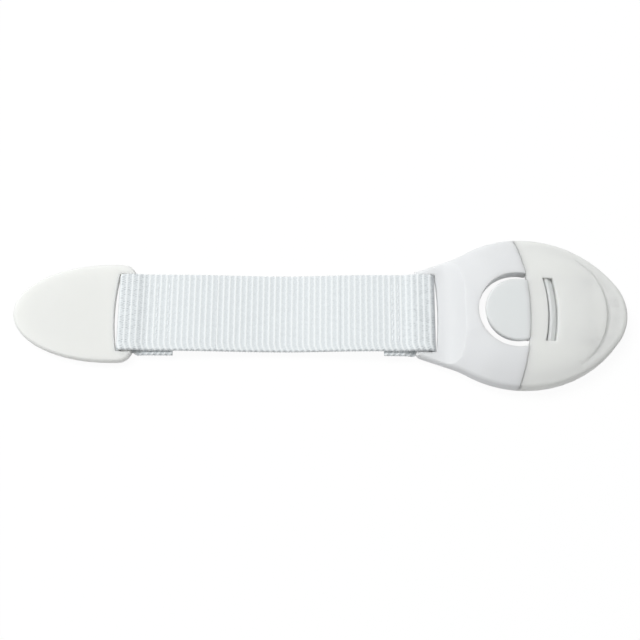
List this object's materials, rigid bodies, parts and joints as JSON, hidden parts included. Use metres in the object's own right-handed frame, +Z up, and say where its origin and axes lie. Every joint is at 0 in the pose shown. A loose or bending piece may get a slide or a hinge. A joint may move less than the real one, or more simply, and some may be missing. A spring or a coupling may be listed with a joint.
{
  "type": "cabinet safety lock",
  "caption": "Stick-on cabinet safety lock: a webbing strap joins a leaf-shaped anchor plate to an oval latch and catch with a round push button.",
  "frame": {"origin": "on the sticking face of the catch pad, near its middle, on the centre line of the lock", "axes": "+X along the strap from the anchor plate to the nose of the catch, +Z up from the surface that the lock sticks to"},
  "size_m": [0.1914, 0.0486, 0.009],
  "materials": {
    "anchor_plastic": "satin moulded white",
    "latch_plastic": "satin moulded cool white",
    "button_plastic": "satin moulded cool white",
    "catch_plastic": "satin moulded warm white",
    "webbing": "ribbed white webbing",
    "thread": "white sewing thread",
    "foam_tape": "matt closed-cell foam",
    "steel": "bright drawn steel"
  },
  "bodies": {
    "catch": {"catch_cover": "catch_plastic", "catch_base": "catch_plastic", "catch_pad": "foam_tape"},
    "latch": {"latch_cover": "latch_plastic", "latch_plug": "latch_plastic", "tongue_pin": "steel", "tongue_spring": "steel", "strap_latch_end": "webbing", "latch_stitching": "thread"},
    "tongue": {"release_tongue": "button_plastic"},
    "near_strap": {"strap_near_half": "webbing"},
    "far_strap": {"strap_far_half": "webbing"},
    "anchor": {"strap_anchor_end": "webbing", "anchor_stitching": "thread", "anchor_plate": "anchor_plastic", "anchor_pad": "foam_tape"}
  },
  "joints": [
    {"name": "latch_play", "type": "slide", "parent": "catch", "child": "latch", "axis": [-1, 0, 0], "range_m": [0, 0.0004]},
    {"name": "button_press", "type": "hinge", "parent": "latch", "child": "tongue", "pos_m": [0.003, 0, 0.0053], "axis": [0, -1, 0], "range_deg": [0, 8.4], "stiffness_Nm_per_rad": 0.1, "springref_deg": -20.05, "deforming": ["tongue_spring"]},
    {"name": "latch_bend", "type": "hinge", "parent": "latch", "child": "near_strap", "pos_m": [-0.0621, 0, 0.0042], "axis": [0, 1, 0], "range_deg": [-60, 60]},
    {"name": "middle_bend", "type": "hinge", "parent": "near_strap", "child": "far_strap", "pos_m": [-0.0924, 0, 0.0024], "axis": [0, 1, 0], "range_deg": [-90, 90]},
    {"name": "anchor_bend", "type": "hinge", "parent": "far_strap", "child": "anchor", "pos_m": [-0.1227, 0, 0.00345], "axis": [0, 1, 0], "range_deg": [-60, 60]}
  ]
}
